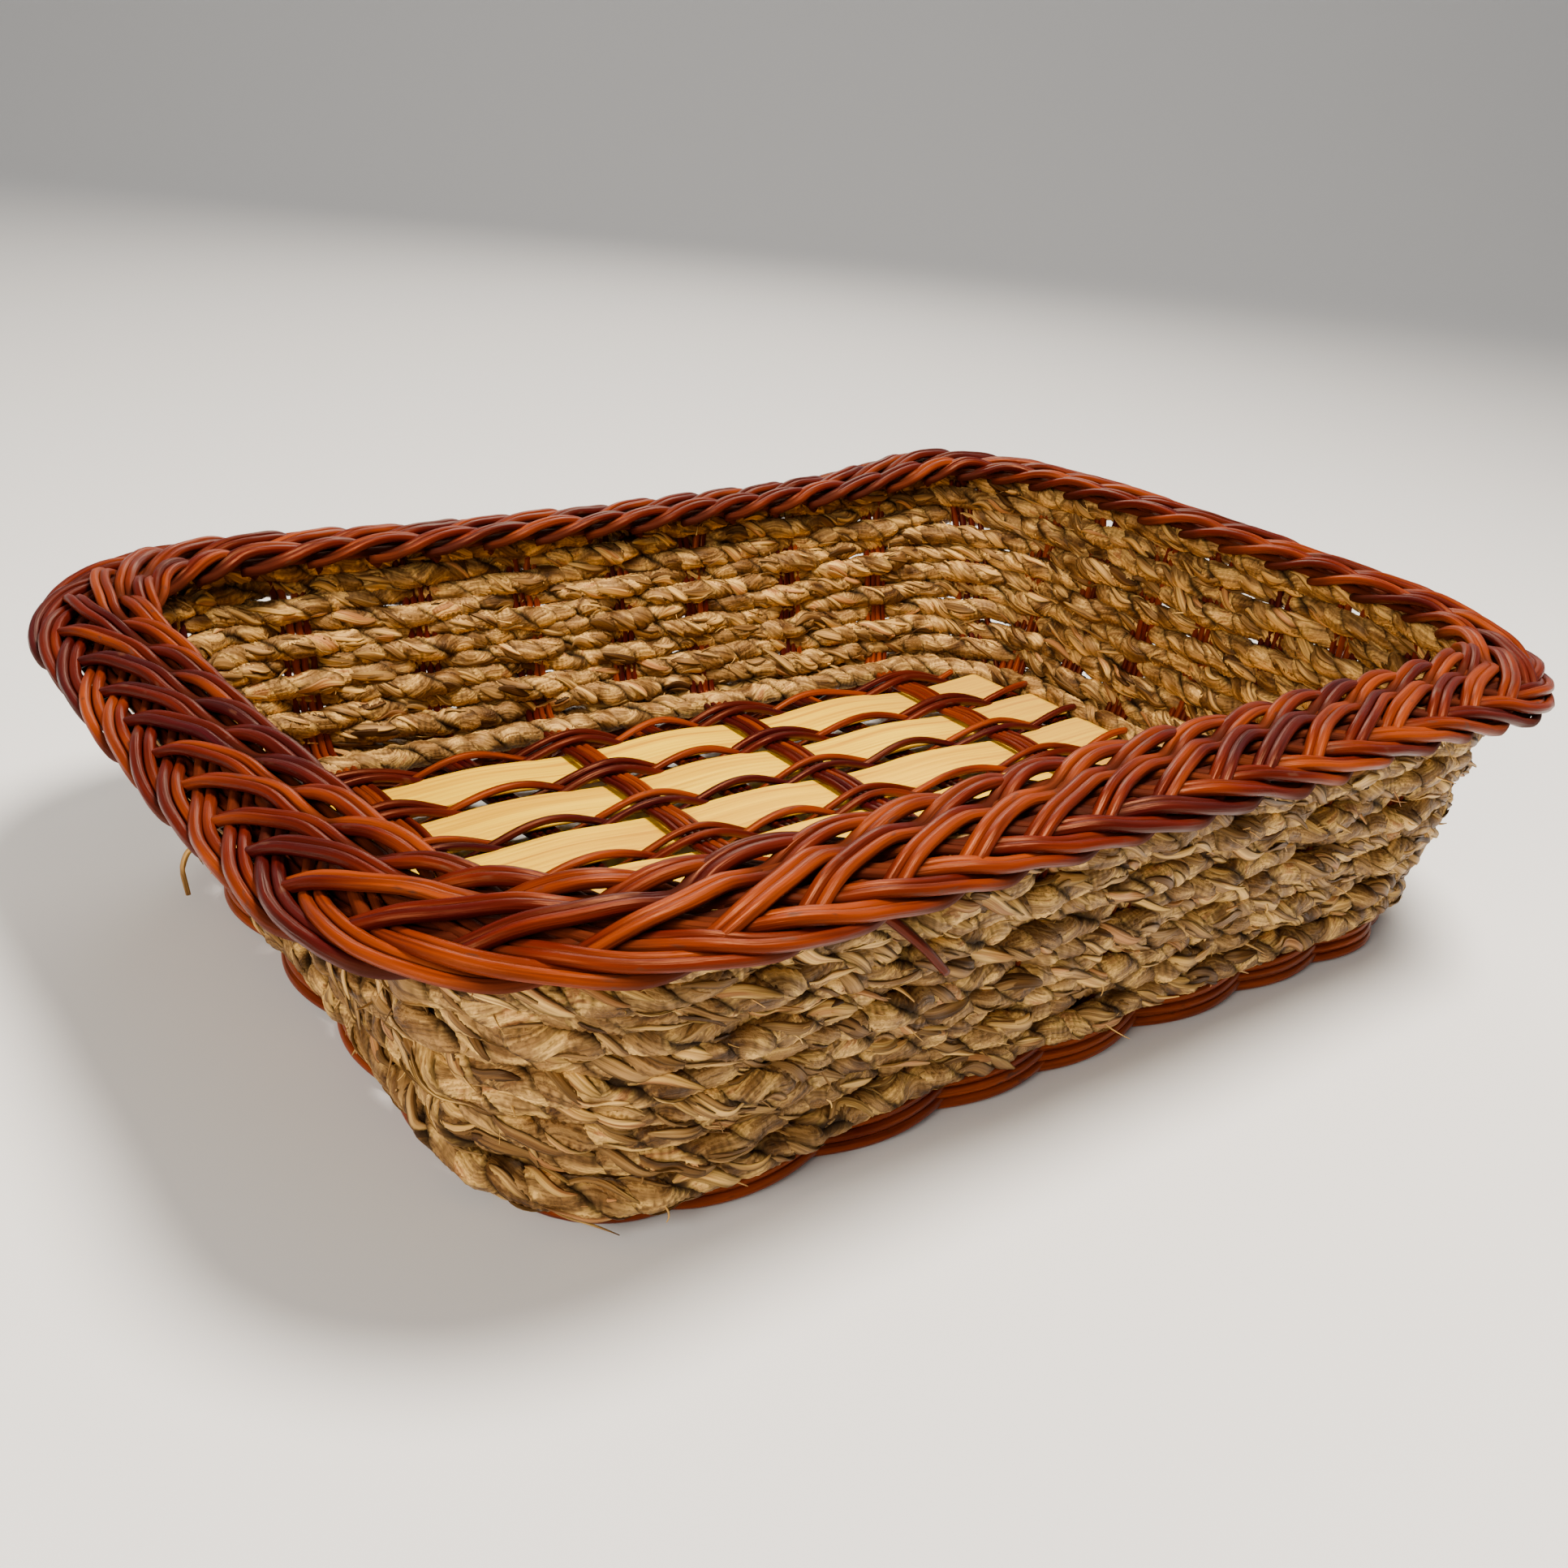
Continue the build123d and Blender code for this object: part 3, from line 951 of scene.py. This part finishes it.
def add_plies(row, centre, normals, share, total):
    """Adds the rope's two plies, and returns their centre lines, outward directions and radii."""
    # The core fills the gaps between the plies and is painted in full shade.
    row.add(centre, CORE_RADIUS, across=normals, sides=CORE_SIDES, tint=CORE_TINT, depth=0.0,
            closed=True)
    tangent = unit(np.roll(centre, -1, 0) - np.roll(centre, 1, 0))
    first = unit(normals - tangent * (normals * tangent).sum(1, keepdims=True))
    second = np.cross(tangent, first)
    twist = tau * round(total / TWIST_LENGTH) * share + wander(share, TWIST_UNEVEN, (10, 60))
    around = np.linspace(0, tau, PLY_SIDES, endpoint=False)[None, :]
    # The side of a ply that faces the core is painted in shade.
    exposed = smoothstep(1.8 * (1 + np.cos(around)) / 2 - 0.55)
    plies = []
    for ply in (0, 1):
        angle = (twist + pi * ply)[:, None]
        outward = first * np.cos(angle) + second * np.sin(angle)
        swell = 1 + wander(share, PLY_UNEVEN, (40, 160))
        path = centre + outward * (PLY_OFFSET * swell)[:, None]
        lay = wander(share, LEAF_LAY_UNEVEN, (10, 60)) - tau * round(total / LEAF_LAY) * share
        leaves = np.abs(np.sin(PLY_LEAVES * (around - lay[:, None]) / 2)) ** LEAF_FULLNESS
        # Painted shade: darker in the valleys between the leaves and on the side facing the core.
        depth = np.clip(0.25 + 0.8 * leaves, 0, 1) * exposed
        tint = 0.5 + wander(share, LEAF_TINT_UNEVEN, (20, 150)) + rng.uniform(*PLY_TINT)
        radius = PLY_RADIUS * swell
        row.add(path, radius, radius * PLY_SPREAD, outward, PLY_SIDES, turn=lay, tint=tint,
                lobes=LEAF_VALLEY + LEAF_CREST * leaves, depth=depth, closed=True)
        plies.append((path, outward, radius))
    return plies


def pointed(share, end):
    """Full in the middle of a leaf and nearly zero at its ends, the nearer the smaller end is."""
    return np.sin(pi * (end + (1 - 2 * end) * share))


def add_wraps(row, plies):
    """Adds loose leaves that lie on the plies, pointed at both ends and lifting at one."""
    painted_edge_light = np.abs(np.sin(np.linspace(0, tau, WRAP_SIDES, endpoint=False)))[None, :]
    for _ in range(WRAPS_PER_ROW):
        path, outward, radius = plies[rng.integers(2)]
        length = rng.integers(*WRAP_POINTS)
        index = (np.arange(length) + rng.integers(len(path))) % len(path)
        share = np.linspace(0, 1, length)
        tangent = unit(np.gradient(path[index], axis=0))
        flank = np.cross(tangent, outward[index])
        turn = rng.uniform(-WRAP_TURN, WRAP_TURN) - WRAP_LAY * (np.arange(length) - length / 2)
        away = outward[index] * np.cos(turn)[:, None] + flank * np.sin(turn)[:, None]
        surface = radius[index] * (1 + (PLY_SPREAD - 1) * np.sin(turn) ** 2)
        lift = WRAP_SINK * surface + rng.exponential(WRAP_LIFT) * share**4
        way = path[index] + away * lift[:, None]
        wide = rng.uniform(*WRAP_HALF_WIDTH) * pointed(share, 0.04) ** 0.7
        thick = WRAP_HALF_THICKNESS * pointed(share, 0.1)
        # Painted shade: darker along the leaf's edges and at its ends, where it meets the ply.
        depth = (0.35 + 0.65 * painted_edge_light) * (0.6 + 0.4 * np.sin(pi * share))[:, None]
        tint = np.clip(rng.normal(WRAP_TINT_MEAN, WRAP_TINT_SPREAD), 0, 1)
        row.add(way, wide, thick, np.cross(tangent, away), WRAP_SIDES, tint=tint, depth=depth)


def add_fibres(row, plies, normals):
    """Adds fine frayed fibres that stand off the rope, mostly outside the basket."""
    share = np.linspace(0, 1, FIBRE_POINTS)
    for _ in range(FIBRES_PER_ROW):
        path, _, radius = plies[rng.integers(2)]
        at = rng.integers(len(path) - 3)
        tangent = unit(path[at + 2] - path[at])
        side = 1 if rng.random() < FIBRES_OUTSIDE else -1
        aim = unit(normals[at] * side * rng.uniform(0.3, 0.8) + rng.standard_normal(3) * 0.45 + tangent)
        curl = unit(rng.standard_normal(3))
        reach = rng.uniform(*FIBRE_REACH)
        way = path[at] + normals[at] * side * radius[at] * 0.7
        way = way + np.outer(share, aim) * reach + np.outer(share**2, curl) * reach * 0.6
        thick = rng.uniform(*FIBRE_RADIUS) * (1 - 0.75 * share)
        wide = thick * rng.uniform(1, 3)
        row.add(way, wide, thick, curl, FIBRE_SIDES, tint=rng.uniform(*FIBRE_TINT))


def add_loose_end(bundle, points, radius):
    """Adds a loose end of a strand through given points, in millimetres."""
    way = softened(np.array(points) * MM, LOOSE_END_STEP, LOOSE_END_SOFTNESS)
    radius = radius * np.linspace(1.0, LOOSE_END_TAPER, len(way))
    bundle.add(way, radius, radius * LOOSE_END_FLATNESS, sides=8, tint=0.5)


def make_rope_rows(material):
    """The hem and the woven rows above it. A row's last rope carries its loose leaves."""
    for number, node in enumerate(nodes_called("seagrass_row_"), 1):
        row = Bundle()
        for offset, rise in HEM_STRANDS if number == 1 else ROW_STRANDS:
            centre, normals, share, total = rope_centre(number, offset, rise)
            plies = add_plies(row, centre, normals, share, total)
        add_wraps(row, plies)
        add_fibres(row, plies, normals)
        if number == LOOSE_CURL_ROW:
            add_loose_end(row, LOOSE_CURL, LOOSE_CURL_RADIUS)
        row.finish(node, material, "seagrass")


# Border


def border_level(across):
    """Height of the plait's middle layer at a place across it."""
    return BORDER_LEVEL - BORDER_DOME * across**2 - BORDER_LEAN * across


def add_border_core(border, ring):
    """Adds the reeds that run round inside the plait."""
    share = np.linspace(0, 1, BORDER_CORE_POINTS, endpoint=False)
    places, normals = on_ring(ring, share * ring[2][-1])
    for across in np.linspace(-BORDER_CORE_REACH, BORDER_CORE_REACH, BORDER_CORE_REEDS):
        out = across * BORDER_HALF_WIDTH + wander(share, BORDER_CORE_UNEVEN, (5, 20))
        level = border_level(across) - BORDER_CORE_DROP + wander(share, BORDER_CORE_UNEVEN, (5, 20))
        path = np.column_stack([places + normals * out[:, None], level])
        # The core reeds are painted partly in shade.
        border.add(path, BORDER_CORE_RADIUS, sides=BORDER_CORE_SIDES, depth=0.3, closed=True)


def strand_line(ring, strand, steps, share):
    """The middle of one strand, and how high it lies above the plait's middle layer."""
    way = spline(STRAND_WAY[:, 0], STRAND_WAY[:, 1:], steps)
    along = strand + steps + wander(share, STRAND_UNEVEN_ALONG, (1, 5))
    across = way[:, 0] + wander(share, STRAND_UNEVEN_ACROSS, (1, 6))
    height = way[:, 1] * MM + wander(share, STRAND_UNEVEN_LEVEL, (1, 6))
    places, normals = on_ring(ring, along * ring[2][-1] / STRAND_COUNT)
    out = across * BORDER_HALF_WIDTH
    return np.column_stack([places + normals * out[:, None], border_level(across) + height]), height


def add_strand(border, line, height, share):
    """Adds a strand's two reeds, side by side along its middle."""
    sideways = unit(np.cross(UP, np.gradient(line, axis=0)))
    depth = 0.3 + 0.7 * smoothstep((height - STRAND_SHADE_LEVEL) / STRAND_SHADE_REACH)
    strand_tint = rng.uniform(*STRAND_TINT)
    for reed in (-0.5, 0.5):
        apart = BORDER_REED_SPACING * (1 + wander(share, 0.08, (1, 5)))
        tilt = wander(share, BORDER_REED_TILT, (1, 5))
        path = line + sideways * (reed * apart)[:, None] + UP * (reed * tilt)[:, None]
        tint = strand_tint + rng.uniform(*BORDER_REED_TINT) + wander(share, 0.12, (1, 5))
        radius = BORDER_REED_RADIUS * rng.uniform(*BORDER_REED_SCALE)
        radius = radius * (1 + wander(share, 0.03, (2, 8)))
        border.add(path, radius, sides=BORDER_REED_SIDES, tint=tint, depth=depth)


def make_border(material):
    """The plait of strands round the rim, with its core and one cut end below it."""
    half_x = RIM_HALF_X - BORDER_LINE_INSET
    half_y = RIM_HALF_Y - BORDER_LINE_INSET
    ring = rounded_ring(half_x, half_y, BORDER_LINE_CORNER)
    steps = np.arange(STRAND_WAY[0, 0], STRAND_WAY[-1, 0], STRAND_STEP)
    share = (steps - steps[0]) / (steps[-1] - steps[0])
    border = Bundle()
    add_border_core(border, ring)
    for strand in range(STRAND_COUNT):
        line, height = strand_line(ring, strand, steps, share)
        add_strand(border, line, height, share)
    add_loose_end(border, CUT_END, BORDER_REED_RADIUS)
    border.finish("plaited_border", material, "red_reed")


# Stage, lights and camera


def make_stage():
    """A pale floor that curves up into a backdrop far behind the basket."""
    heading = radians(CAMERA_HEADING)
    forward = Vector((cos(heading), sin(heading), 0))
    sideways = forward.cross(Vector(UP))
    bend = [(STAGE_DEPTH + STAGE_BEND * sin(turn), STAGE_BEND * (1 - cos(turn)))
            for turn in np.linspace(0, pi / 2, STAGE_BEND_POINTS)]
    profile = [(-STAGE_DEPTH, 0.0), *bend, (STAGE_DEPTH + STAGE_BEND, STAGE_WALL)]
    points = [forward * along + sideways * side + Vector((0, 0, height))
              for along, height in profile for side in (-STAGE_REACH, STAGE_REACH)]
    faces = [(i, i + 1, i + 3, i + 2) for i in range(0, len(points) - 2, 2)]
    mesh = bpy.data.meshes.new("stage_floor")
    mesh.from_pydata(points, [], faces)
    mesh.shade_smooth()
    floor = bpy.data.objects.new("stage_floor", mesh)
    bpy.context.collection.objects.link(floor)
    material = bpy.data.materials.new("stage_pale")
    material.use_nodes = True
    shader = material.node_tree.nodes["Principled BSDF"]
    shader.inputs["Base Color"].default_value = STAGE_COLOUR
    shader.inputs["Roughness"].default_value = 0.8
    floor.data.materials.append(material)


def make_lights():
    """Warm round lights aimed at the basket, and a dim warm surrounding."""
    for name, (place, size, power) in LIGHTS.items():
        data = bpy.data.lights.new(name, "AREA")
        data.shape = "DISK"
        data.size = size
        data.energy = power
        data.color = LIGHT_COLOUR
        light = bpy.data.objects.new(name, data)
        light.location = place
        light.rotation_euler = (-Vector(place)).to_track_quat("-Z", "Y").to_euler()
        bpy.context.collection.objects.link(light)
    world = bpy.data.worlds.new("studio")
    world.use_nodes = True
    background = world.node_tree.nodes["Background"]
    background.inputs["Color"].default_value = WORLD_COLOUR
    background.inputs["Strength"].default_value = WORLD_STRENGTH
    bpy.context.scene.world = world


def make_camera():
    data = bpy.data.cameras.new("photo_camera")
    data.lens = CAMERA_LENS
    data.sensor_width = CAMERA_SENSOR
    camera = bpy.data.objects.new("photo_camera", data)
    level = Matrix.Rotation(radians(CAMERA_HEADING - 90), 4, "Z") @ Matrix.Rotation(pi / 2, 4, "X")
    tilt = Matrix.Rotation(-radians(CAMERA_TILT), 4, "X")
    roll = Matrix.Rotation(radians(CAMERA_ROLL), 4, "Z")
    camera.matrix_world = Matrix.Translation(CAMERA_PLACE) @ level @ tilt @ roll
    bpy.context.collection.objects.link(camera)
    bpy.context.scene.camera = camera


red_reed = reed_material()
seagrass = seagrass_material()
make_slats(slat_material())
make_floor_reeds(red_reed)
make_cross_stakes(red_reed)
make_end_stakes(red_reed)
make_rope_rows(seagrass)
make_border(red_reed)
make_foot_band(red_reed)

make_stage()
make_lights()
make_camera()
